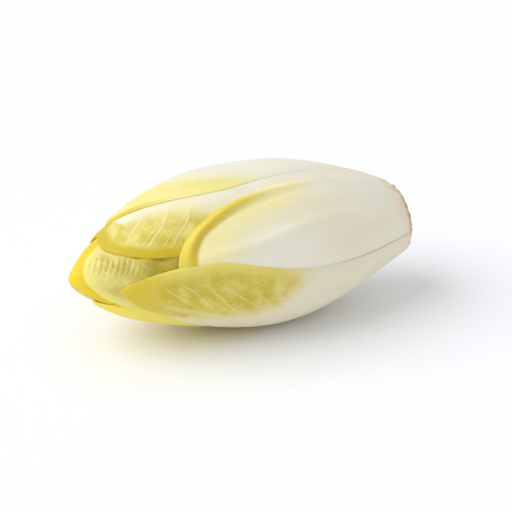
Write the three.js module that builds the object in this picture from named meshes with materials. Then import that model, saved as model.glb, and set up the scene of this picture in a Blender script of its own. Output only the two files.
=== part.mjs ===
// A head of Belgian endive lying on its side: pale leaves wrapped round a short cone of stem, each one
// tucked under the leaf outside it and closing on the others in a pointed nose.
//
// Millimetres, +Z up. The head lies along X, cut base at +X, leaf tips at -X, and rests on z = 0.
// A place on the head is given by two numbers: height, 0 at the cut base to 1 at the nose, and angle
// round the head in degrees, 0 on top, 90 towards -Y, 180 underneath.
import * as THREE from 'three';

const HEAD_LENGTH = 130; // what heights are a share of
const CUT_HEIGHT = 0.0125; // the head is trimmed here
const LONGEST_TIP = 0.991; // and its longest leaf ends here
const BELLY_RADIUS = 30; // the widest part of the head
const BELLY_HEIGHT = 0.455; // where that is
const BASE_RADIUS = 11.8;
const NOSE_FULLNESS = 2; // higher keeps the belly wide for longer
const NOSE_BLUNTNESS = 0.7; // 0.5 is a round end, 1 a pointed one
const REST_DEPTH = 1.1; // how far the soft belly is pressed flat by the head's own weight
const ARCH = 1.6; // how far the middle of the head bows up
const NOSE_DROOP = 1.4; // how far the nose hangs below the straight line
const BASE_RISE = 1.1; // how far the base stands above it
const CUT_SLANT = 0.14; // the cut leans back this much from square to the head

const OUTER_GAP = 0.65; // air between two leaves at the outside
const HEART_GAP = 1.6; // and round the heart, where they lie looser
const MARGIN_THICKNESS = 0.8;
const TUCK_WIDTH = 8; // how far beyond a leaf's edge the leaf under it takes to rise level again
const FIRST_LEAF_HEIGHT = 0.029;
const LEAF_CLIMB = 0.0009; // leaves further in grow higher on the stem,
const LEAF_CLIMB_POWER = 1.8; // the inner ones more widely spaced
const TIP_HALF_WIDTH = 0.9;
const LEAF_CELLS = { across: 10, along: 12 };

const STEM_HEIGHT = 0.175; // the cone of stem ends here
const STEM_TAPER = 0.035; // it narrows over this height below the foot of each leaf
const RIM_RADIUS = 11.6; // the trimmed end stands a little proud of the leaves
const RIM_THICKNESS = 1.6;
const STEM_CELLS = { around: 24, along: 8 };

const LEAF_COLOURS = { pale: 0xece6cf, yellow: 0xe3d878 };

// Outermost first. angle: where the leaf grows from the stem. lean: how far round its tip swings.
// spread: half its width, in degrees round the head. tip: height of its tip. shoulder: share of its
// length where it starts to narrow. point: 2 is round, less is pointed. blunt: 2 is round, more is blunt.
// rib: thickness of its midrib. ribSide: where the midrib runs, -1 to 1 across the leaf.
const USUAL_LEAF = { lean: 0, shoulder: 0.7, point: 2.4, blunt: 3, rib: 3.2, ribSide: 0 };

const LEAVES = [
  {
    name: 'leaf_01_front',
    angle: 128, lean: -37, spread: 37, tip: 0.877,
    shoulder: 0.68, point: 1.9, blunt: 1.4, rib: 3.4, ribSide: 0.3,
  },
  {
    name: 'leaf_02_back',
    angle: 258, lean: 14, spread: 55, tip: 0.81,
    shoulder: 0.45, point: 2.2, blunt: 1.6, rib: 3.4,
  },
  {
    name: 'leaf_03_upper_front',
    angle: 80, lean: -6, spread: 61, tip: 0.735,
    shoulder: 0.34, blunt: 1.5, rib: 3.4, ribSide: -0.15,
  },
  {
    name: 'leaf_04_underside',
    angle: 200, lean: 6, spread: 50, tip: 0.84,
    shoulder: 0.5, point: 2.2, blunt: 1.7, rib: 3.3,
  },
  {
    name: 'leaf_05_upper_back',
    angle: -54, lean: 33, spread: 60, tip: 0.866,
    shoulder: 0.61, point: 1.25, blunt: 1.85, rib: 3.3,
  },
  {
    name: 'leaf_06_top',
    angle: 32, lean: -25, spread: 47, tip: 0.904,
    shoulder: 0.84, point: 2.8, blunt: 1.8, rib: 3.3,
  },
  {
    name: 'leaf_07_inner_front',
    angle: 98, lean: -36, spread: 53, tip: 0.957,
    shoulder: 0.88, point: 2.8, blunt: 2.6, ribSide: 0.3,
  },
  { name: 'leaf_08_inner_back', angle: 290, lean: 14, spread: 60, tip: 0.905, blunt: 2 },
  {
    name: 'leaf_09_inner_underside',
    angle: 165, lean: -10, spread: 52, tip: 0.935,
    shoulder: 0.65, point: 2.2, blunt: 2,
  },
  { name: 'leaf_10_inner_rear', angle: 232, spread: 58, tip: 0.945, blunt: 2.2 },
  {
    name: 'leaf_11_nose_front',
    angle: 62, spread: 92, tip: LONGEST_TIP, shoulder: 0.9,
    blunt: 2.4, ribSide: 0.2,
  },
  { name: 'leaf_12_nose_back', angle: 300, spread: 80, tip: 0.978, shoulder: 0.8 },
  { name: 'leaf_13_nose_under', angle: 182, spread: 76, tip: 0.978, shoulder: 0.85 },
  { name: 'leaf_14_heart', angle: 20, spread: 68, tip: 0.88, point: 2, rib: 3.4 },
  { name: 'leaf_15_heart', angle: 150, spread: 70, tip: 0.84, point: 2, rib: 3.5 },
  { name: 'leaf_16_heart', angle: 280, spread: 72, tip: 0.79, shoulder: 0.65, point: 2, rib: 3.6 },
  {
    name: 'leaf_17_heart',
    angle: 80, spread: 76, tip: 0.71, shoulder: 0.6,
    point: 2, blunt: 2.5, rib: 3.8,
  },
  {
    name: 'leaf_18_heart',
    angle: 240, spread: 78, tip: 0.62, shoulder: 0.6,
    point: 2, blunt: 2.2, rib: 4,
  },
].map((row) => ({ ...USUAL_LEAF, ...row }));

const { smoothstep, clamp, degToRad, euclideanModulo } = THREE.MathUtils;

// The smooth outline of the whole head, as a radius at each height.
function headRadius(height) {
  if (height < BELLY_HEIGHT) {
    const rise = Math.sin((Math.PI / 2) * (height / BELLY_HEIGHT));
    return BASE_RADIUS + (BELLY_RADIUS - BASE_RADIUS) * rise;
  }
  const along = (height - BELLY_HEIGHT) / (1 - BELLY_HEIGHT);
  return BELLY_RADIUS * Math.max(0, 1 - along ** NOSE_FULLNESS) ** NOSE_BLUNTNESS;
}

// Height of the head's middle line above the surface it lies on.
function spineHeight(height) {
  const arch = ARCH * Math.sin(Math.PI * clamp((height - 0.42) / 0.5, 0, 1)) ** 2;
  const rise = BASE_RISE * (1 - smoothstep(height, 0, 0.3));
  return BELLY_RADIUS - REST_DEPTH + arch + rise - NOSE_DROOP * smoothstep(height, 0.72, 1);
}

// How far the head reaches from its middle line: the outline, cut off flat where it rests.
function reach(angle, height) {
  const downward = -Math.cos(degToRad(angle));
  const outline = headRadius(height);
  return downward > 0 ? Math.min(outline, spineHeight(height) / downward) : outline;
}

function pointAt(angle, height, radius) {
  const a = degToRad(angle);
  const up = radius * Math.cos(a);
  const slant = CUT_SLANT * up * (1 - smoothstep(height, 0, 0.15));
  const middle = HEAD_LENGTH * (CUT_HEIGHT + LONGEST_TIP) / 2 - (CUT_SLANT * RIM_RADIUS) / 2;
  return new THREE.Vector3(
    middle - HEAD_LENGTH * height - slant,
    -radius * Math.sin(a),
    spineHeight(height) + up,
  );
}

const gapUnder = (order) => THREE.MathUtils.lerp(OUTER_GAP, HEART_GAP, (order / LEAVES.length) ** 2);
const leafStart = (order) => FIRST_LEAF_HEIGHT + LEAF_CLIMB * order ** LEAF_CLIMB_POWER;

// Share of the leaf's length at this height, its middle line and its half width there, in degrees,
// before the tip closes, and how far into its tip that is.
function leafAt(leaf, order, height) {
  const start = leafStart(order);
  const share = clamp((height - start) / (leaf.tip - start), 0, 1.2);
  return {
    share,
    middle: leaf.angle + leaf.lean * Math.min(share, 1) ** 2,
    spread: leaf.spread * (0.9 + 0.1 * Math.sin((Math.PI / 2) * Math.min(share / 0.35, 1))),
    intoTip: Math.max(0, (share - leaf.shoulder) / (1 - leaf.shoulder)),
  };
}

// Place across the leaf as -1 to 1 from edge to edge, counted so that the midrib is at 0.
function fromRib(across, ribSide) {
  return (across - ribSide) / (across > ribSide ? 1 - ribSide : 1 + ribSide);
}

function leafThickness(leaf, at, across) {
  const swell = smoothstep(at.share, -0.1, 0.2);
  const fade = 1 - smoothstep(at.share, 0.25, 1);
  const rib = MARGIN_THICKNESS + (leaf.rib - MARGIN_THICKNESS) * swell * (0.12 + 0.88 * fade);
  const side = clamp(1 - fromRib(across, leaf.ribSide) ** 2, 0, 1);
  return MARGIN_THICKNESS + (rib - MARGIN_THICKNESS) * side ** 1.5;
}

// How much room a leaf takes from the leaves inside it: its thickness and the gap wherever it lies,
// fading to nothing over the tuck beyond its edge.
function roomTaken(leaf, order, angle, height) {
  const at = leafAt(leaf, order, height);
  const offset = euclideanModulo(angle - at.middle + 180, 360) - 180;
  const across = offset / at.spread;
  const edge = (Math.abs(across) ** leaf.point + at.intoTip ** leaf.blunt) ** (1 / leaf.point);
  const radius = headRadius(height);
  const beyond = (edge - 1) * degToRad(at.spread) * radius;
  const tuck = Math.min(TUCK_WIDTH, 0.4 * radius);
  const begun = smoothstep(height, leafStart(order) - STEM_TAPER, leafStart(order));
  const covers = begun * (1 - smoothstep(beyond, 0, tuck));
  return covers * (leafThickness(leaf, at, clamp(across, -1, 1)) + gapUnder(order));
}

function depthUnder(order, angle, height) {
  let depth = 0;
  for (let i = 0; i < order; i += 1) {
    depth += roomTaken(LEAVES[i], i, angle, height);
  }
  return depth;
}

// A leaf is a box bent into place: x runs across it, y from stem to tip and z through it.
function leafGeometry(leaf, order) {
  const geometry = new THREE.BoxGeometry(2, 1, 1, LEAF_CELLS.across, LEAF_CELLS.along, 1);
  const position = geometry.getAttribute('position');
  const start = leafStart(order);
  for (let i = 0; i < position.count; i += 1) {
    const across = -position.getX(i);
    const share = 1 - (0.5 - position.getY(i)) ** 1.25; // closer rows towards the tip
    const height = start + (leaf.tip - start) * share;
    const at = leafAt(leaf, order, height);
    const closing = Math.max(0, 1 - at.intoTip ** leaf.blunt) ** (1 / leaf.point);
    const narrowest = (TIP_HALF_WIDTH / headRadius(height)) * (180 / Math.PI);
    const halfWidth = Math.max(at.spread * closing, Math.min(narrowest, at.spread * 0.6));
    const angle = at.middle + across * halfWidth;
    const top = depthUnder(order, angle, height);
    const thickness = leafThickness(leaf, at, (across * halfWidth) / at.spread);
    const depth = position.getZ(i) > 0 ? top : top + thickness;
    const point = pointAt(angle, height, Math.max(reach(angle, height) - depth, 0.3));
    position.setXYZ(i, point.x, point.y, point.z);
  }
  return geometry;
}

// The stem is a cone in the middle of the leaves, with the trimmed end as its foot.
function stemGeometry() {
  const geometry = new THREE.CylinderGeometry(1, 1, 1, STEM_CELLS.around, STEM_CELLS.along, false);
  const position = geometry.getAttribute('position');
  const rimHeight = CUT_HEIGHT + RIM_THICKNESS / HEAD_LENGTH;
  for (let i = 0; i < position.count; i += 1) {
    const row = Math.round((position.getY(i) + 0.5) * STEM_CELLS.along);
    const angle = THREE.MathUtils.radToDeg(Math.atan2(-position.getX(i), position.getZ(i)));
    const middle = Math.hypot(position.getX(i), position.getZ(i)) < 0.5;
    const share = Math.max(0, row - 1) / (STEM_CELLS.along - 1);
    const height = row === 0 ? CUT_HEIGHT : rimHeight * (1 - share) + STEM_HEIGHT * share;
    const room = reach(angle, height) - depthUnder(LEAVES.length, angle, height);
    const cone = BASE_RADIUS * (1 - share) + 1.5 * share;
    const radius = row < 2 ? RIM_RADIUS - 0.6 * row : clamp(room, 0.6, cone);
    const point = pointAt(angle, height, middle ? 0 : radius);
    position.setXYZ(i, point.x, point.y, point.z);
  }
  return geometry;
}

const leafColour = (order) =>
  new THREE.Color(LEAF_COLOURS.pale).lerp(new THREE.Color(LEAF_COLOURS.yellow), order / LEAVES.length);

const head = new THREE.Group();
head.name = 'belgian_endive';

LEAVES.forEach((leaf, order) => {
  const material = new THREE.MeshStandardMaterial({ color: leafColour(order), roughness: 0.45, metalness: 0 });
  const mesh = new THREE.Mesh(leafGeometry(leaf, order), material);
  mesh.name = leaf.name;
  head.add(mesh);
});

const stem = new THREE.Mesh(
  stemGeometry(),
  new THREE.MeshStandardMaterial({ color: 0xdcc8a4, roughness: 0.7, metalness: 0 }),
);
stem.name = 'stem_core';
head.add(stem);

export default head;
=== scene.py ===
"""A head of Belgian endive lying on its side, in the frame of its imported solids.

Metres in the scene, millimetres in the head's own measurements. A place on the head is an angle round it,
0 on top, 90 towards the front, 180 underneath, and a height, 0 at the cut base to 1 at the nose.
"""

from types import SimpleNamespace

import bmesh
import bpy
import numpy as np
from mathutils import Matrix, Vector, noise


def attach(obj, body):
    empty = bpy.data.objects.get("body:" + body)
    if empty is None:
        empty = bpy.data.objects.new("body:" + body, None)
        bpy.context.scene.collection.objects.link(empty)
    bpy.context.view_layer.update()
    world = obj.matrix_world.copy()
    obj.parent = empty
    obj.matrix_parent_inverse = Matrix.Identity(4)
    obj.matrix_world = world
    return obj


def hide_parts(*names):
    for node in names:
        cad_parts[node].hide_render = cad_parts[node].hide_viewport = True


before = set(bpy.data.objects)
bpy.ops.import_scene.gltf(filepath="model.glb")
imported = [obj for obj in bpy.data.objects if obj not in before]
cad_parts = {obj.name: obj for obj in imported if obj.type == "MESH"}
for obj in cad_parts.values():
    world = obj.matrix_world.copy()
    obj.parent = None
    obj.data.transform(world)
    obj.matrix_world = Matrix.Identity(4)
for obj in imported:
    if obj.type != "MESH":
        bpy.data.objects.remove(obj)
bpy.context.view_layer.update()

MM = 0.001
HEAD_LENGTH = 130
CUT_HEIGHT = 0.0125
LONGEST_TIP = 0.991
BELLY_RADIUS = 30
BELLY_HEIGHT = 0.455
NOSE_END = 0.993
BASE_RADIUS = 11.8
NOSE_FULLNESS = 2
NOSE_BLUNTNESS = 0.7
REST_DEPTH = 1.1
ARCH = 1.6
NOSE_DROOP = 1.4
BASE_RISE = 1.1
CUT_SLANT = 0.14
RIM_RADIUS = 11.6

GAP = 0.02
MARGIN_THICKNESS = 0.4
FOOT_MARGIN_THICKNESS = 0.08
TUCK_WIDTH = 6
FIRST_LEAF_HEIGHT = 0.0285
LEAF_CLIMB = 0.0009
LEAF_CLIMB_POWER = 1.8
STEM_TAPER = 0.035
NARROWEST_TIP = 0.35
CLOSEST_TO_MIDDLE = 0.3
SHARP_EDGE = 50


def colour(red, green, blue):
    """A colour given as it looks, 0 to 255, as the shader wants it."""
    return tuple((c / 255) ** 2.2 for c in (red, green, blue)) + (1.0,)


FLESH = colour(238, 234, 216)
FLESH_WARM = colour(237, 228, 205)
LEMON = colour(232, 220, 130)
OLIVE = colour(196, 178, 72)
GOLD = colour(214, 186, 40)
FOOT = colour(236, 219, 196)
CREAM = colour(238, 232, 180)
ROLL_SHADE = colour(218, 191, 54)
STEM_PALE = colour(238, 220, 196)
STEM_DRY = colour(226, 202, 172)
STEM_BROWN = colour(182, 130, 98)
TABLE = colour(246, 248, 252)

# What every leaf has unless its own row says otherwise. angle to rib_side are the shape of its solid, but
# leaves 07, 09 and 11 to 14 lean, spread or reach further here, to close the nose, and all the leaves lie
# closer together than the solids do. tip is the height its tip reaches.
#
# Relief, in mm: hug, how far its margin closes down on the leaf under it; roll, height of the bead along
# its margin; flare, how far its tip stands off, or sinks in when negative; ridges, height of the broad
# ribs at its foot; relief, height of its veins; keel, height of a fold along it; crease, depth of one near
# its margin; ripples, of fine wrinkles across it; crumple, of uneven folds near its tip. rows is how many
# rows of faces the mesh has along the leaf.
#
# Colour: the blade turns yellow from the height share white on, over a strip along its margin blade mm
# wide at the tip, with an edge soft mm wide, and over the whole tip from the share tip_from on. side keeps
# the strip to one side of the leaf. flesh is the white part, cream the pale yellow round the blade, tint
# the blade, and deep the blade between its veins, within deep_width mm of the margin; up to the share
# deep_until the whole blade takes the deep colour as painted shade, for the leaves over it. edge
# colours the last edge_width mm, from the share edge_from on. bare is a strip along the margin with no
# veins, mm wide, and vein_gap the mm between veins. yellow, patches, veins, streaks and gold_tip are
# strengths.
LEAF_DEFAULTS = dict(
    lean=0, shoulder=0.7, point=2.4, blunt=3, rib=3.2, rib_side=0,
    hug=0.12, roll=0, flare=0, ridges=0.3, relief=0.16, keel=0, crease=0, ripples=0, crumple=0, rows=190,
    white=0.35, blade=26, soft=7, side=0, tint=LEMON, deep=OLIVE, edge=GOLD, edge_width=3, edge_from=0.6,
    yellow=0.9, patches=0.45, deep_width=60, veins=0.5, vein_gap=10.5, streaks=0.2, gold_tip=0,
    bare=4, deep_until=0, flesh=FLESH, cream=CREAM, tip_from=0.88,
)

LEAVES = [
    SimpleNamespace(name=name, order=order, **{**LEAF_DEFAULTS, **row})
    for order, (name, row) in enumerate({
        # Leaf 01's flesh and cream are painted darker and warmer than the other leaves', as the shade and
        # yellow bounce light on the head's lower front.
        "leaf_01_front": dict(
            angle=128, lean=-37, spread=37, tip=0.877, shoulder=0.68, point=1.9, blunt=1.4, rib=3.4,
            rib_side=0.3, flare=0.4, crease=0.3, white=0.4, blade=38, soft=14, side=-1, tip_from=0.9,
            flesh=colour(233, 226, 200), cream=colour(228, 214, 158), tint=colour(225, 207, 88),
            deep=colour(200, 178, 50), edge=colour(234, 219, 106), edge_width=1.2, edge_from=0.5,
            patches=0.9, veins=0.27, vein_gap=9.5, bare=8, gold_tip=0.8,
        ),
        "leaf_02_back": dict(
            angle=258, lean=14, spread=55, tip=0.81, shoulder=0.45, point=2.2, blunt=1.6, rib=3.4, blade=18,
        ),
        "leaf_03_upper_front": dict(
            angle=80, lean=-6, spread=61, tip=0.735, shoulder=0.34, blunt=1.5, rib=3.4, rib_side=-0.15,
            roll=1.3, keel=0.9, white=0.4, blade=14, soft=16, tint=colour(250, 238, 176),
            deep=colour(244, 228, 146), edge=colour(228, 206, 80), edge_width=4.2, edge_from=0.55,
            patches=0.3, veins=0.1, relief=0.04, streaks=1, tip_from=0.9,
        ),
        "leaf_04_underside": dict(
            angle=200, lean=6, spread=50, tip=0.84, shoulder=0.5, point=2.2, blunt=1.7, rib=3.3, blade=55,
            white=0.28, tint=colour(236, 200, 44), deep=colour(218, 180, 28),
        ),
        "leaf_05_upper_back": dict(
            angle=-54, lean=33, spread=60, tip=0.866, shoulder=0.61, point=1.25, blunt=1.85, rib=3.3,
            flare=0.6, white=0.46, blade=18, tint=colour(241, 229, 140), deep=colour(228, 212, 112),
            edge=colour(222, 196, 70), edge_width=1.8, edge_from=0.75, patches=0.3, veins=0.15, relief=0.04,
        ),
        "leaf_06_top": dict(
            angle=32, lean=-25, spread=47, tip=0.904, shoulder=0.84, point=2.8, blunt=1.8, rib=3.3,
            rib_side=-0.3, flare=0.6, relief=0.2, white=0.26, blade=22, soft=16, side=1, tip_from=0.87,
            deep_width=22, tint=colour(229, 215, 104), deep=colour(200, 180, 54),
            edge=colour(204, 178, 24), edge_width=4.5, edge_from=0.5, patches=1, veins=0.36,
            vein_gap=10.5, bare=5,
        ),
        # Leaf 07's dark deep colour is painted shade, laid over its blade up to share 0.85, where the
        # margins of leaves 06 and 01 over it shade it.
        "leaf_07_inner_front": dict(
            angle=98, lean=-45, spread=55, tip=0.957, shoulder=0.88, point=2.8, blunt=2.6, rib_side=0.3,
            flare=0.3, ripples=0.26, crumple=0.9, rows=340, white=0.1, blade=50, tint=colour(234, 219, 116),
            deep=colour(176, 156, 38), edge=colour(240, 225, 110), edge_width=1.2, patches=0.6, veins=0.08,
            relief=0.05, vein_gap=13, deep_until=0.85,
        ),
        "leaf_08_inner_back": dict(
            angle=290, lean=14, spread=60, tip=0.905, blunt=2, white=0.3, blade=30, patches=0.6,
        ),
        "leaf_09_inner_underside": dict(
            angle=165, lean=-14, spread=52, tip=0.935, shoulder=0.65, point=2.2, blunt=2, white=0.25,
            blade=60, flare=-0.4, tint=colour(242, 223, 92), deep=colour(232, 208, 66), edge_width=9,
            edge_from=0.4, edge=colour(244, 224, 88), relief=0.06, veins=0.2,
        ),
        "leaf_10_inner_rear": dict(
            angle=232, spread=58, tip=0.945, blunt=2.2, white=0.3, blade=36, patches=0.6,
        ),
        "leaf_11_nose_front": dict(
            angle=62, spread=98, tip=LONGEST_TIP, shoulder=0.955, rib_side=0.2, flare=-0.9, white=0.2,
            blade=60, tint=colour(236, 206, 22), deep=colour(228, 192, 8), edge=colour(240, 218, 60),
            edge_width=0.9, veins=0.05, relief=0.04, yellow=1,
        ),
        "leaf_12_nose_back": dict(
            angle=300, spread=80, tip=0.987, shoulder=0.93, flare=-0.9, white=0.2, blade=60,
            tint=colour(230, 208, 70),
        ),
        "leaf_13_nose_under": dict(
            angle=182, spread=80, tip=0.984, shoulder=0.93, flare=-0.9, white=0.2, blade=60,
            tint=colour(234, 220, 120), patches=0.2,
        ),
        "leaf_14_heart": dict(angle=20, spread=68, tip=0.96, point=2, rib=3.4),
        "leaf_15_heart": dict(angle=150, spread=70, tip=0.84, point=2, rib=3.5),
        "leaf_16_heart": dict(angle=280, spread=72, tip=0.79, shoulder=0.65, point=2, rib=3.6),
        "leaf_17_heart": dict(angle=80, spread=76, tip=0.71, shoulder=0.6, point=2, blunt=2.5, rib=3.8),
        "leaf_18_heart": dict(angle=240, spread=78, tip=0.62, shoulder=0.6, point=2, blunt=2.2, rib=4),
    }.items())
]
HIDDEN_FROM = 13
LEAF_COLUMNS = 112
HIDDEN_GRID = 30, 40


# Maths that serves a leaf's mesh and its finish alike: numbers in arrays, or wires of a material.


class Wire:
    """One output of a material node. Sums and products of wires are worked out by Math nodes."""

    def __init__(self, finish, socket):
        self.finish = finish
        self.socket = socket

    def maths(self, operation, *values):
        inputs = dict(enumerate(values))
        return self.finish.node("ShaderNodeMath", {"operation": operation}, inputs)

    def __add__(self, other):
        return self.maths("ADD", self, other)

    def __sub__(self, other):
        return self.maths("SUBTRACT", self, other)

    def __rsub__(self, other):
        return self.maths("SUBTRACT", other, self)

    def __mul__(self, other):
        return self.maths("MULTIPLY", self, other)

    def __truediv__(self, other):
        return self.maths("DIVIDE", self, other)

    __radd__ = __add__
    __rmul__ = __mul__


class Finish:
    """A material and the nodes in it."""

    def __init__(self, name, **constants):
        self.material = bpy.data.materials.new(name)
        self.material.use_nodes = True
        self.nodes = self.material.node_tree.nodes
        self.links = self.material.node_tree.links
        self.shader = self.nodes["Principled BSDF"]
        for socket, value in constants.items():
            self.shader.inputs[socket.replace("_", " ")].default_value = value

    def node(self, kind, settings, inputs, output=0):
        made = self.nodes.new(kind)
        for name, value in settings.items():
            if name == "stops":
                for stop, (position, tint) in zip(self.stops(made, len(value)), value):
                    stop.position, stop.color = position, tint
            else:
                setattr(made, name, value)
        for key, value in inputs.items():
            self.feed(made.inputs[key], value)
        return Wire(self, made.outputs[output])

    def stops(self, ramp, count):
        while len(ramp.color_ramp.elements) < count:
            ramp.color_ramp.elements.new(1)
        return ramp.color_ramp.elements

    def feed(self, socket, value):
        if isinstance(value, Wire):
            self.links.new(value.socket, socket)
        else:
            socket.default_value = value

    def mix(self, amount, under, over):
        return self.node("ShaderNodeMix", {"data_type": "RGBA"}, {0: amount, 6: under, 7: over}, 2)

    def attribute(self, name):
        return self.node("ShaderNodeAttribute", {"attribute_name": name}, {}, "Fac")

    def noise(self, vector, scale, detail=2, roughness=0.5):
        inputs = {"Vector": vector, "Scale": scale, "Detail": detail, "Roughness": roughness}
        return self.node("ShaderNodeTexNoise", {}, inputs)

    def vector(self, x, y, z):
        return self.node("ShaderNodeCombineXYZ", {}, {0: x, 1: y, 2: z})

    def bump(self, height, strength, distance):
        inputs = {"Height": height, "Strength": strength, "Distance": distance}
        return self.node("ShaderNodeBump", {}, inputs)

    def output(self, **sockets):
        for socket, value in sockets.items():
            self.feed(self.shader.inputs[socket.replace("_", " ")], value)
        return self.material


def ease(x, start, end):
    """0 before start, 1 after end, smooth between."""
    if isinstance(x, Wire):
        settings = {"interpolation_type": "SMOOTHSTEP"}
        return x.finish.node("ShaderNodeMapRange", settings, {0: x, 1: start, 2: end})
    t = np.clip((x - start) / (end - start), 0, 1)
    return t * t * (3 - 2 * t)


def size_of(x):
    return x.maths("ABSOLUTE", x) if isinstance(x, Wire) else np.abs(x)


def sine(x):
    return x.maths("SINE", x) if isinstance(x, Wire) else np.sin(x)


def from_nearest_whole(x):
    return x.maths("PINGPONG", x, 0.5) if isinstance(x, Wire) else np.abs(x - np.round(x))


def vein_lines(leaf, sideways, along, inside):
    """How much of a vein there is at a place sideways mm from the midrib and along mm from the foot.

    Side veins leave the midrib, sweep towards the tip and fork twice on the way to the margin.
    """
    out = size_of(sideways)
    wander = 0.9 * sine(0.31 * along + 0.9 * leaf.order) + 0.7 * sine(0.43 * sideways + 0.17 * along)
    wander = wander + 0.35 * sine(0.83 * sideways - 0.61 * along)
    row = (along - 0.75 * out - 0.022 * out * out + wander) * (1 / leaf.vein_gap) + 0.03 * sideways
    side = from_nearest_whole(row)
    fork = size_of(side - 0.2 * ease(out, 9, 19))
    twig = size_of(fork - 0.085 * ease(out, 17, 27))
    width = 0.1 - 0.068 * ease(out, 2, 22)
    side_vein = 1 - ease(twig / width, 0.3, 1.3)
    midrib = 1 - ease(out, 0.7, 2.4)
    either = 1 - (1 - side_vein * ease(out, 1, 5)) * (1 - midrib)
    return either * ease(inside, leaf.bare * 0.4, leaf.bare * 1.2)


# The shape of the head and of its leaves.


def head_radius(height):
    rise = np.sin(np.pi / 2 * np.clip(height / BELLY_HEIGHT, 0, 1))
    along = np.clip((height - BELLY_HEIGHT) / (NOSE_END - BELLY_HEIGHT), 0, 1)
    nose = BELLY_RADIUS * (1 - along**NOSE_FULLNESS) ** NOSE_BLUNTNESS
    return np.where(height < BELLY_HEIGHT, BASE_RADIUS + (BELLY_RADIUS - BASE_RADIUS) * rise, nose)


def spine_height(height):
    arch = ARCH * np.sin(np.pi * np.clip((height - 0.42) / 0.5, 0, 1)) ** 2
    rise = BASE_RISE * (1 - ease(height, 0, 0.3))
    return BELLY_RADIUS - REST_DEPTH + arch + rise - NOSE_DROOP * ease(height, 0.72, 1)


def reach(angle, height):
    """How far the head reaches from its middle line: the outline, cut off flat where it rests."""
    downward = np.maximum(-np.cos(np.radians(angle)), 1e-6)
    return np.minimum(head_radius(height), spine_height(height) / downward)


def place(angle, height, radius):
    """The point in the scene, in metres."""
    a = np.radians(angle)
    up = radius * np.cos(a)
    slant = CUT_SLANT * up * (1 - ease(height, 0, 0.15))
    middle = HEAD_LENGTH * (CUT_HEIGHT + LONGEST_TIP) / 2 - CUT_SLANT * RIM_RADIUS / 2
    x = middle - HEAD_LENGTH * height - slant
    return np.stack([x, -radius * np.sin(a), spine_height(height) + up], -1) * MM


def foot(leaf):
    return FIRST_LEAF_HEIGHT + LEAF_CLIMB * leaf.order**LEAF_CLIMB_POWER


def outline(leaf, height):
    """The leaf's middle line and half width before its tip closes, and how far into the tip that is."""
    share = np.clip((height - foot(leaf)) / (leaf.tip - foot(leaf)), 0, 1.2)
    middle = leaf.angle + leaf.lean * np.minimum(share, 1) ** 2
    half = leaf.spread * (0.9 + 0.1 * np.sin(np.pi / 2 * np.minimum(share / 0.35, 1)))
    return share, middle, half, np.maximum(0, (share - leaf.shoulder) / (1 - leaf.shoulder))


def on_leaf(leaf, angle, height):
    """Where a place on the head is on this leaf: share of its length, -1 to 1 across it, millimetres
    sideways of its midrib, and millimetres inside its margin, negative beyond it."""
    share, middle, half, into = outline(leaf, height)
    offset = (angle - middle + 180) % 360 - 180
    across = offset / half
    edge = (np.abs(across) ** leaf.point + into**leaf.blunt) ** (1 / leaf.point)
    width = np.radians(half) * head_radius(height)
    length = (leaf.tip - foot(leaf)) * HEAD_LENGTH * (1 - leaf.shoulder)
    steepness = np.maximum(edge, 1e-3) ** (1 - leaf.point) * np.hypot(
        np.maximum(np.abs(across), 1e-3) ** (leaf.point - 1) / width,
        leaf.blunt / leaf.point * into ** (leaf.blunt - 1) / length,
    )
    inside = (1 - edge) / np.maximum(steepness, 0.4 / width)
    return share, across, (across - leaf.rib_side) * width, inside


def thickness(leaf, share, across):
    swell = ease(share, -0.1, 0.2)
    fade = 1 - ease(share, 0.25, 1)
    margin = FOOT_MARGIN_THICKNESS + (MARGIN_THICKNESS - FOOT_MARGIN_THICKNESS) * ease(share, 0.35, 0.8)
    rib = margin + (leaf.rib - margin) * swell * (0.12 + 0.88 * fade)
    aside = across - leaf.rib_side
    from_rib = aside / np.where(aside > 0, 1 - leaf.rib_side, 1 + leaf.rib_side)
    return margin + (rib - margin) * np.clip(1 - from_rib**2, 0, 1) ** 1.5


def lift(leaf, share, across, sideways, inside):
    """How far the leaf's outer face stands above the smooth head, in millimetres, bar its finer relief."""
    inside = np.maximum(inside, 0)
    upper = 1 - ease(across, -0.2, 0.05)
    bead = np.exp(-(((inside - 1.7) / 1.3) ** 2)) - 0.3 * np.exp(-(((inside - 4.4) / 1.2) ** 2))
    fold = np.exp(-(((sideways - 2 + 11 * ease(-share, -1, -0.35)) / 2.4) ** 2)) * ease(share, 0.2, 0.6)
    return (
        -leaf.hug * (1 - ease(inside, 0, 6)) * (leaf.roll == 0)
        + leaf.roll * bead * ease(share, 0.32, 0.65) * upper
        + leaf.keel * fold * ease(inside, 0, 4)
        + leaf.flare * ease(share, 0.82, 1)
    )


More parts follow.
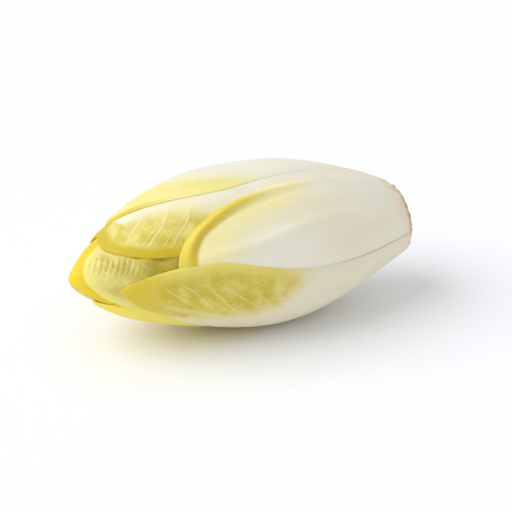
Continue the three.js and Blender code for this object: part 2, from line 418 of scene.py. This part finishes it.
def fine_relief(leaf, share, across, sideways, along, inside):
    """What of the outer face doesn't press on the leaves inside: the rounded margin, broad ribs at the
    foot, a crease, cross wrinkles and uneven folds."""
    inside = np.maximum(inside, 0)
    groove = np.exp(-(((inside - 1 - 20 * (share - 0.47)) / 1.1) ** 2)) * ease(share, 0.48, 0.56)
    strip = ease(sideways, -9.5, -6.5) * (1 - ease(sideways, -5, -1))
    fine = np.sin(along * 3.9 - 1.4 * sideways) * strip * ease(share, 0.82, 0.88)
    fold = np.exp(-(((sideways + 6) / 1.8) ** 2)) * ease(share, 0.84, 0.9)
    uneven = np.sin(0.45 * along + 0.3 * sideways) * np.sin(0.3 * along - 0.7 * sideways + 1.3)
    loose = ease(share, 0.68, 0.78) * (1 - ease(share, 0.88, 0.93)) * (1 - ease(sideways, -6, 1))
    return (
        leaf.ridges * np.cos(across * 9 + leaf.order) * (1 - ease(share, 0.1, 0.5)) * ease(inside, 0, 5)
        - 0.3 * thickness(leaf, share, across) * (1 - np.minimum(inside / 0.7, 1)) ** 2
        - leaf.crease * groove * (1 - ease(share, 0.78, 0.88)) * (across < 0)
        + (leaf.ripples * fine + leaf.crumple * (fold + 0.8 * uneven * loose)) * ease(inside, 0, 2)
    )


def room_taken(leaf, angle, height):
    """How far the leaf pushes in the leaves inside it, fading out over the tuck beyond its margin."""
    share, across, sideways, inside = on_leaf(leaf, angle, height)
    radius = head_radius(height)
    begun = ease(height, foot(leaf) - STEM_TAPER, foot(leaf))
    covers = begun * (1 - ease(-inside, 0, np.minimum(TUCK_WIDTH, 0.4 * radius)))
    across = np.clip(across, -1, 1)
    sunk = np.minimum(lift(leaf, share, across, sideways, inside), 0)
    return covers * (thickness(leaf, share, across) + GAP - sunk)


def depth_under(order, angle, height):
    return sum((room_taken(leaf, angle, height) for leaf in LEAVES[:order]), np.zeros_like(angle))


def uncovered(leaf, angle, height):
    """0 under the leaves outside this one, 1 where it shows."""
    shows = np.ones_like(angle)
    for outer in LEAVES[:leaf.order]:
        begun = ease(height, foot(outer) - STEM_TAPER, foot(outer))
        shows = np.minimum(shows, 1 - begun * ease(on_leaf(outer, angle, height)[3], -0.2, 1.2))
    return shows


# Meshes.


def finished_piece(bm, name, material, stands_for):
    """The closed mesh as an object that stands for its solid, with its faces pointing outwards."""
    bmesh.ops.recalc_face_normals(bm, faces=bm.faces)
    if bm.calc_volume(signed=True) < 0:
        bmesh.ops.reverse_faces(bm, faces=bm.faces)
    mesh = bpy.data.meshes.new(name)
    bm.to_mesh(mesh)
    bm.free()
    mesh.shade_smooth()
    mesh.set_sharp_from_angle(angle=np.radians(SHARP_EDGE))
    mesh.materials.append(material)
    piece = bpy.data.objects.new(name, mesh)
    bpy.context.scene.collection.objects.link(piece)
    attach(piece, "root")
    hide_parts(stands_for)
    return piece


def store(mesh, name, values):
    mesh.attributes.new(name, "FLOAT", "POINT").data.foreach_set("value", values.astype(np.float32))


def leaf_piece(leaf):
    hidden = leaf.order >= HIDDEN_FROM
    columns, rows = HIDDEN_GRID if hidden else (LEAF_COLUMNS, leaf.rows)
    bm = bmesh.new()
    bmesh.ops.create_grid(bm, x_segments=columns, y_segments=rows, size=1)
    bmesh.ops.solidify(bm, geom=bm.faces[:], thickness=1)
    flat = np.array([vert.co for vert in bm.verts])
    outer = flat[:, 2] > flat[:, 2].mean()
    height = foot(leaf) + (leaf.tip - foot(leaf)) * (1 - (0.5 - flat[:, 1] / 2) ** 1.4)
    _, middle, half, into = outline(leaf, height)
    closing = np.maximum(0, 1 - into**leaf.blunt) ** (1 / leaf.point)
    narrowest = np.degrees(NARROWEST_TIP / head_radius(height))
    angle = middle - flat[:, 0] * np.maximum(half * closing, narrowest)
    share, across, sideways, inside = on_leaf(leaf, angle, height)
    across = np.clip(across, -1, 1)
    along = share * (leaf.tip - foot(leaf)) * HEAD_LENGTH
    lamina = blade_yellow(leaf, share, across, inside, leaf.soft)
    raised = lift(leaf, share, across, sideways, inside)
    raised += fine_relief(leaf, share, across, sideways, along, inside)
    raised += leaf.relief * vein_lines(leaf, sideways, along, inside) * lamina
    raised = np.where(raised > 0, raised * uncovered(leaf, angle, height), raised)
    top = depth_under(leaf.order, angle, height) - raised
    depth = np.where(outer, top, np.maximum(top, top + raised) + thickness(leaf, share, across))
    points = place(angle, height, np.maximum(reach(angle, height) - depth, CLOSEST_TO_MIDDLE))
    points[:, 2] = np.maximum(points[:, 2], 0)  # nothing goes below the table
    for vert, point in zip(bm.verts, points):
        vert.co = point
    piece = finished_piece(bm, leaf.name + "_skin", leaf_finish(leaf), leaf.name)
    corners = np.empty(len(piece.data.loops), dtype=np.int32)
    piece.data.loops.foreach_get("vertex_index", corners)
    spots = np.stack([0.5 + sideways / 100, along / 150], -1)[corners]
    piece.data.uv_layers.new(name="leaf").data.foreach_set("uv", spots.astype(np.float32).ravel())
    store(piece.data, "lamina", lamina)
    store(piece.data, "cream", blade_yellow(leaf, share, across, inside, leaf.soft + 8))
    store(piece.data, "inside", np.clip(inside, 0, 30))
    return piece


def blade_yellow(leaf, share, across, inside, soft):
    """0 on the white of a leaf, 1 on its yellow blade, with an edge soft mm wide between them."""
    strip = leaf.blade * np.clip((share - leaf.white) / (1 - leaf.white), 0, 1) ** 0.7
    if leaf.side:
        inside = (1 - leaf.side * across) * np.radians(leaf.spread) * BELLY_RADIUS
    strip = np.maximum(strip, 2 * BELLY_RADIUS * ease(share, leaf.tip_from, 1))
    return ease(strip - inside, 6 - soft, 6) * ease(share, leaf.white - soft / 200, leaf.white + 0.2)


# Finishes.


def leaf_finish(leaf):
    finish = Finish(
        leaf.name + "_skin",
        Subsurface_Weight=0.1,
        Subsurface_Radius=(1.0, 0.8, 0.35),
        Subsurface_Scale=0.002,
        Specular_IOR_Level=0.35,
    )
    uv = finish.node("ShaderNodeUVMap", {"uv_map": "leaf"}, {})
    split = finish.node("ShaderNodeSeparateXYZ", {}, {0: uv})
    sideways = (split - 0.5) * 100
    along = Wire(finish, split.socket.node.outputs[1]) * 150
    share = along * (1 / ((leaf.tip - foot(leaf)) * HEAD_LENGTH))
    lamina = finish.attribute("lamina")
    inside = finish.attribute("inside")
    spread = finish.vector(sideways, along, leaf.order * 7.3)
    clouds = finish.noise(spread, 0.05, 2)
    mottle = finish.noise(spread, 0.14, 3)
    grain = finish.noise(spread, 0.9, 4, 0.6)
    threads = finish.noise(finish.vector(sideways * 1.6, along * 0.1, leaf.order), 1.0, 3, 0.6)
    veins = vein_lines(leaf, sideways, along, inside) * ease(mottle + 0.2 * grain, 0.25, 0.6)
    cells = finish.node("ShaderNodeTexVoronoi", {"feature": "DISTANCE_TO_EDGE"},
                        {"Vector": spread, "Scale": 0.55})
    net = 1 - ease(cells, 0.0, 0.14)
    lamina = ease(lamina + 0.25 * (mottle - 0.5), 0, 1)
    skin = finish.mix(ease(clouds, 0.38, 0.66), leaf.flesh, FLESH_WARM)
    skin = finish.mix(0.8 - 0.8 * ease(along, 0.5, 5 + 3 * mottle), skin, FOOT)
    skin = finish.mix(finish.attribute("cream") * 0.8, skin, leaf.cream)
    skin = finish.mix(lamina * leaf.yellow * (0.8 + 0.3 * mottle), skin, leaf.tint)
    between = lamina * (1 - 1.3 * leaf.veins * veins) * ease(mottle + 0.25 * grain, 0.4, 0.75)
    between = between * ease(inside, 1, 6) * (1 - ease(inside, leaf.deep_width * 0.3, leaf.deep_width))
    skin = finish.mix(between * leaf.patches, skin, leaf.deep)
    # Painted shade: up to the given share the whole blade takes its deep colour, standing for the shade of
    # the leaves over it.
    if leaf.deep_until:
        past = ease(share, leaf.deep_until - 0.04, leaf.deep_until + 0.05)
        skin = finish.mix(0.95 - 0.95 * past, skin, leaf.deep)
    band = 1 - ease(inside, leaf.edge_width * 0.5, leaf.edge_width * 1.1)
    band = band * ease(share, leaf.edge_from, leaf.edge_from + 0.2)
    skin = finish.mix(band * ease(lamina, 0.1, 0.7), skin, leaf.edge)
    if leaf.roll:
        # Painted shade: the valley behind the bead is darkened to a deeper gold, as the shade in its
        # hollow.
        valley = ease(inside, 1.6, 3.2) * (1 - ease(inside, 3.8, 4.9)) * ease(share, 0.66, 0.92) * lamina
        skin = finish.mix(valley, skin, ROLL_SHADE)
    skin = finish.mix(veins * leaf.veins * lamina * ease(inside, 0.5, 4), skin, CREAM)
    skin = finish.mix(net * lamina * leaf.veins * 0.15, skin, CREAM)
    skin = finish.mix(ease(share, 0.83, 0.95) * leaf.gold_tip * lamina, skin, GOLD)
    streaked = ease(threads, 0.5, 0.7) * leaf.streaks * 0.9 * lamina * ease(inside, 4, 5.5)
    skin = finish.mix(streaked, skin, CREAM)
    height = veins * 0.5 * lamina + net * 0.12 * lamina + grain * 0.1
    height = height + threads * (0.08 + 0.25 * leaf.streaks)
    return finish.output(
        Base_Color=skin,
        Roughness=0.42 + 0.14 * grain,
        Normal=finish.bump(height, 0.4, 0.0005),
    )


def stem_finish():
    finish = Finish("stem_cut", Subsurface_Weight=0.15, Subsurface_Radius=(1, 0.7, 0.4),
                    Subsurface_Scale=0.003, Specular_IOR_Level=0.25)
    spot = finish.node("ShaderNodeTexCoord", {}, {}, "Object")
    blotch = finish.noise(spot, 220, 4, 0.6)
    fine = finish.noise(spot, 900, 3, 0.6)
    brown = finish.attribute("brown")
    skin = finish.mix(ease(blotch, 0.3, 0.7), STEM_PALE, STEM_DRY)
    skin = finish.mix(ease(brown + 0.7 * blotch, 0.75, 1.35), skin, STEM_BROWN)
    return finish.output(Base_Color=skin, Roughness=0.62 + 0.2 * fine,
                         Normal=finish.bump(blotch + 0.5 * fine, 0.6, 0.0004))


# The stem.


def stem_piece():
    """The trimmed stem: its cut face, and a flank that widens to fill the room between the leaves' feet.
    The profile is pairs of millimetres out from the middle and in from the cut."""
    profile = [(0, 0.5), (2, 0.55), (4, 0.45), (6, 0.35), (8, 0.25), (9.6, 0.1), (10.7, 0), (11.3, 0.15),
               (11.6, 0.6), (11.6, 1.2), (11.8, 1.6), (12.5, 2), (13.4, 2.5), (14, 4), (14, 7),
               (13.4, 10), (12, 13), (9, 16), (5.5, 19), (2.5, 21), (0, 22)]
    bm = bmesh.new()
    verts = [bm.verts.new((radius, 0, up)) for radius, up in profile]
    edges = [bm.edges.new(pair) for pair in zip(verts, verts[1:])]
    bmesh.ops.spin(bm, geom=verts + edges, axis=(0, 0, 1), cent=(0, 0, 0), angle=2 * np.pi, steps=96,
                   use_merge=True)
    bmesh.ops.remove_doubles(bm, verts=bm.verts, dist=1e-4)
    flat = np.array([vert.co for vert in bm.verts])
    radius = np.hypot(flat[:, 0], flat[:, 1])
    angle = np.degrees(np.arctan2(-flat[:, 1], flat[:, 0]))
    up = flat[:, 2].copy()
    knobbly = np.array([noise.noise(Vector(co) * 0.55) for co in flat])
    rim = ease(radius, 7, 10.5) * (1 - ease(up, 1.6, 3))
    face = 1 - ease(up, 0.6, 1.0)
    height = CUT_HEIGHT + np.maximum(up + face * 0.5 * knobbly * (1 - rim * 0.6), 0) / HEAD_LENGTH
    radius = radius + rim * 1.3 * knobbly
    room = reach(angle, height) - depth_under(len(LEAVES), angle, height)
    radius = np.where(up > 1.4, np.minimum(radius, room), radius)
    for vert, point in zip(bm.verts, place(angle, height, radius)):
        vert.co = point
    ring = face * (1 - ease(np.abs(radius - 7.5), 0.4, 1.6))
    brown = ease(radius, 9, 10.8) * ease(-up, -1.4, -0.2) + 0.3 * ring
    piece = finished_piece(bm, "stem_cut_end", stem_finish(), "stem_core")
    store(piece.data, "brown", brown)
    return piece


# The place it lies in, in metres, watts per square metre and degrees.

TABLE_HALF_WIDTH = 4
ROOM_BRIGHTNESS = 0.67
WINDOW_ENERGY = 1.75
WINDOW_ANGLE = 55
WINDOW_DIRECTION = Vector((-0.95, 0.18, 1.0))
CAMERA_AIM = Vector((0.0039, -0.0041, 0.0259))
CAMERA_AZIMUTH = -21.8
CAMERA_ELEVATION = 28
CAMERA_DISTANCE = 0.51


def white_table():
    bm = bmesh.new()
    bmesh.ops.create_grid(bm, x_segments=1, y_segments=1, size=TABLE_HALF_WIDTH)
    mesh = bpy.data.meshes.new("white_table")
    bm.to_mesh(mesh)
    bm.free()
    table = bpy.data.objects.new("white_table", mesh)
    bpy.context.scene.collection.objects.link(table)
    finish = Finish("white_paper", Roughness=0.9, Specular_IOR_Level=0.1)
    mesh.materials.append(finish.output(Base_Color=TABLE))


def studio():
    world = bpy.data.worlds.new("bright_room")
    world.use_nodes = True
    world.node_tree.nodes["Background"].inputs["Color"].default_value = (1, 1, 1, 1)
    world.node_tree.nodes["Background"].inputs["Strength"].default_value = ROOM_BRIGHTNESS
    bpy.context.scene.world = world
    bpy.context.scene.view_settings.view_transform = "Standard"
    window = bpy.data.lights.new("window", "SUN")
    window.energy = WINDOW_ENERGY
    window.angle = np.radians(WINDOW_ANGLE)
    lamp = bpy.data.objects.new("window", window)
    lamp.rotation_euler = WINDOW_DIRECTION.to_track_quat("Z", "Y").to_euler()
    bpy.context.scene.collection.objects.link(lamp)


def camera():
    lens = bpy.data.cameras.new("camera")
    lens.lens = 100
    lens.sensor_width = 36
    lens.clip_start = 0.01
    shot = bpy.data.objects.new("camera", lens)
    azimuth, elevation = np.radians(CAMERA_AZIMUTH), np.radians(CAMERA_ELEVATION)
    level = np.cos(elevation)
    back = Vector((np.sin(azimuth) * level, -np.cos(azimuth) * level, np.sin(elevation)))
    shot.location = CAMERA_AIM + back * CAMERA_DISTANCE
    shot.rotation_euler = back.to_track_quat("Z", "Y").to_euler()
    bpy.context.scene.collection.objects.link(shot)
    bpy.context.scene.camera = shot


for leaf in LEAVES:
    leaf_piece(leaf)
stem_piece()
white_table()
studio()
camera()
